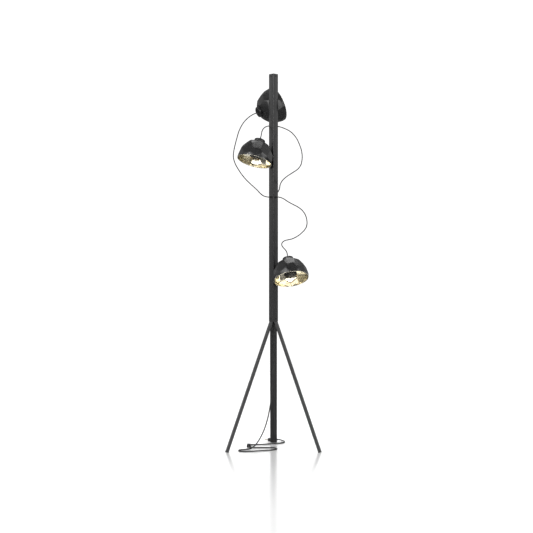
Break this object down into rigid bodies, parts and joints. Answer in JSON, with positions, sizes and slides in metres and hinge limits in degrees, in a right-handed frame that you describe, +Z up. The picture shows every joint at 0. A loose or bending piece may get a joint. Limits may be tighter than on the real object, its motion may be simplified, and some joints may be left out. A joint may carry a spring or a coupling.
{
  "type": "tripod floor lamp",
  "caption": "Floor lamp on splayed legs: a three-sided pole with dome shades that slide and swivel on its faces, each on a loose cord, and a foot switch on the mains cord.",
  "frame": {"origin": "on the floor, under the middle of the lamp's outline without its cords, foot switch and plug", "axes": "+Z up along the pole; one edge of the pole faces -Y, and one leg points to +Y"},
  "size_m": [0.483, 0.5006, 1.9],
  "materials": {
    "pole_coat": "semi-matt black powder coat",
    "leg_coat": "semi-matt black powder coat",
    "hub_steel": "semi-matt black powder coat",
    "shade_black": "hand-beaten, satin black lacquer",
    "reflector_gold": "hammered mirror, champagne gold",
    "nickel_steel": "nickel plated",
    "nickel_pins": "nickel plated brass",
    "stem_steel": "black lacquer",
    "heat_sink": "matt black anodised",
    "diffuser": "opal",
    "black_screw": "blackened steel",
    "black_rubber": "moulded, matt",
    "black_plastic": "fine moulded grain",
    "cord_jacket": "smooth matt jacket",
    "inner_plastic": "smooth"
  },
  "bodies": {
    "stand": {"pole_tube": "pole_coat", "pole_cap": "pole_coat", "foot_screw_back": "black_screw", "foot_screw_left": "black_screw", "foot_screw_right": "black_screw", "cord_grommet_back": "black_rubber", "cord_grommet_left": "black_rubber", "cord_grommet_right": "black_rubber", "led_driver": "inner_plastic", "terminal_block": "inner_plastic", "leg_hub": "hub_steel", "leg_back": "leg_coat", "foot_pad_back": "black_rubber", "leg_left": "leg_coat", "foot_pad_left": "black_rubber", "leg_right": "leg_coat", "foot_pad_right": "black_rubber", "mains_strain_relief": "black_rubber", "switch_base": "black_plastic", "switch_cover": "black_plastic", "plug_body": "black_plastic", "plug_pin_front": "nickel_pins", "plug_pin_rear": "nickel_pins", "mains_cord_to_switch": "cord_jacket", "mains_cord_to_plug": "cord_jacket", "top_screw_back": "black_screw", "top_screw_left": "black_screw", "top_screw_right": "black_screw", "top_cord_lower": "cord_jacket", "mid_cord_lower": "cord_jacket", "low_cord_lower": "cord_jacket"},
    "top_carriage": {"top_magnet_mount": "nickel_steel"},
    "top_head": {"top_shade": "shade_black", "top_reflector": "reflector_gold", "top_neck_cap": "shade_black", "top_cord_gland": "black_plastic", "top_stem": "stem_steel", "top_led_disc": "heat_sink", "top_led_ring": "diffuser", "top_cord_upper": "cord_jacket"},
    "mid_carriage": {"mid_magnet_mount": "nickel_steel"},
    "mid_head": {"mid_shade": "shade_black", "mid_reflector": "reflector_gold", "mid_neck_cap": "shade_black", "mid_cord_gland": "black_plastic", "mid_stem": "stem_steel", "mid_led_disc": "heat_sink", "mid_led_ring": "diffuser", "mid_cord_upper": "cord_jacket"},
    "low_carriage": {"low_magnet_mount": "nickel_steel"},
    "low_head": {"low_shade": "shade_black", "low_reflector": "reflector_gold", "low_neck_cap": "shade_black", "low_cord_gland": "black_plastic", "low_stem": "stem_steel", "low_led_disc": "heat_sink", "low_led_ring": "diffuser", "low_cord_upper": "cord_jacket"},
    "rocker": {"switch_rocker": "black_plastic"}
  },
  "joints": [
    {"name": "top_slide", "type": "slide", "parent": "stand", "child": "top_carriage", "axis": [0, 0, 1], "range_m": [-0.02, 0.1], "deforming": ["top_cord_lower"]},
    {"name": "top_swivel", "type": "hinge", "parent": "top_carriage", "child": "top_head", "pos_m": [0.005, -0.04498, 1.75], "axis": [0, 1, 0], "range_deg": [-45, 90], "deforming": ["top_cord_upper"]},
    {"name": "mid_slide", "type": "slide", "parent": "stand", "child": "mid_carriage", "axis": [0, 0, 1], "range_m": [-0.05, 0.03], "deforming": ["mid_cord_lower"]},
    {"name": "mid_swivel", "type": "hinge", "parent": "mid_carriage", "child": "mid_head", "pos_m": [-0.01525, -0.06274, 1.472], "axis": [-0.866, -0.5, 0], "range_deg": [-60, 60], "deforming": ["mid_cord_upper"]},
    {"name": "low_slide", "type": "slide", "parent": "stand", "child": "low_carriage", "axis": [0, 0, 1], "range_m": [-0.15, 0.1], "deforming": ["low_cord_lower"]},
    {"name": "low_swivel", "type": "hinge", "parent": "low_carriage", "child": "low_head", "pos_m": [0.01025, -0.0714, 0.879], "axis": [0.866, -0.5, 0], "range_deg": [-60, 60], "deforming": ["low_cord_upper"]},
    {"name": "foot_switch", "type": "hinge", "parent": "stand", "child": "rocker", "pos_m": [-0.1265, 0.03229, 0.01115], "axis": [1, 0, 0], "range_deg": [0, 12]}
  ]
}
